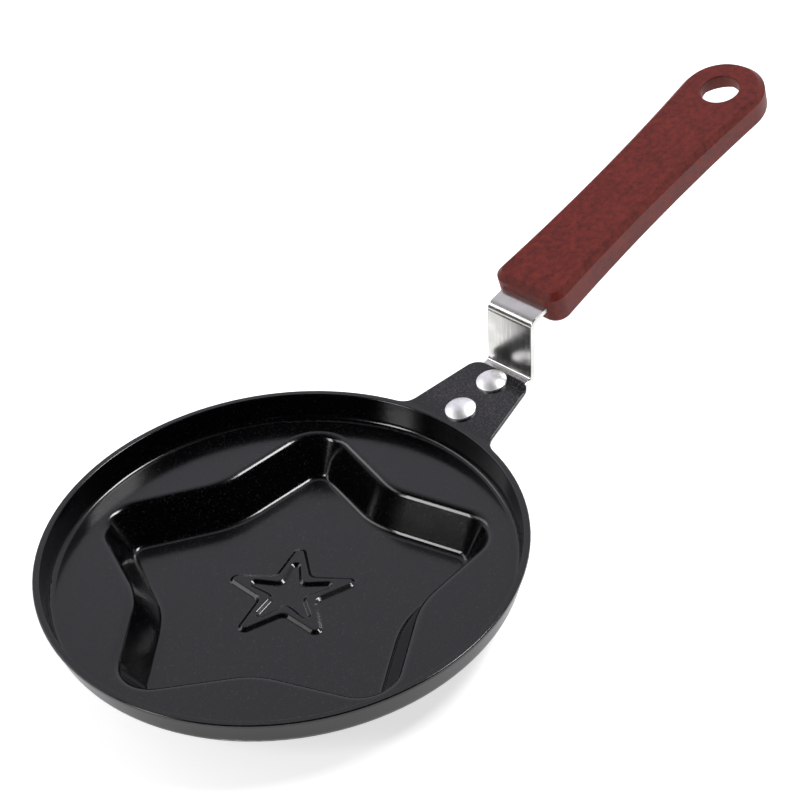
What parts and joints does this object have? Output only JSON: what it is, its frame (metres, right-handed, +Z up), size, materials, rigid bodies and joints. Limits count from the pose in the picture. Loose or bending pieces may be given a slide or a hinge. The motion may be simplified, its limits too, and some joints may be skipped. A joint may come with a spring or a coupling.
{
  "type": "mini frying pan",
  "caption": "Round mini frying pan of pressed non-stick steel with a star-shaped recess, a riveted bent-strip bracket and a moulded grip with a hang hole.",
  "frame": {"origin": "middle of the flat underside that the pan stands on, on the axis of the round pan", "axes": "+Z up out of the pan, +X from the pan's axis towards the handle"},
  "size_m": [0.2459, 0.12, 0.0646],
  "materials": {
    "coated_steel": "satin black non-stick coating",
    "plated_steel": "bright plated",
    "rivet_aluminium": "bare satin",
    "grip_plastic": "satin red-brown moulding"
  },
  "bodies": {
    "root": {"pan_body": "coated_steel", "handle_bracket": "plated_steel", "rivet_inner": "rivet_aluminium", "rivet_outer": "rivet_aluminium", "handle_grip": "grip_plastic"}
  },
  "joints": []
}
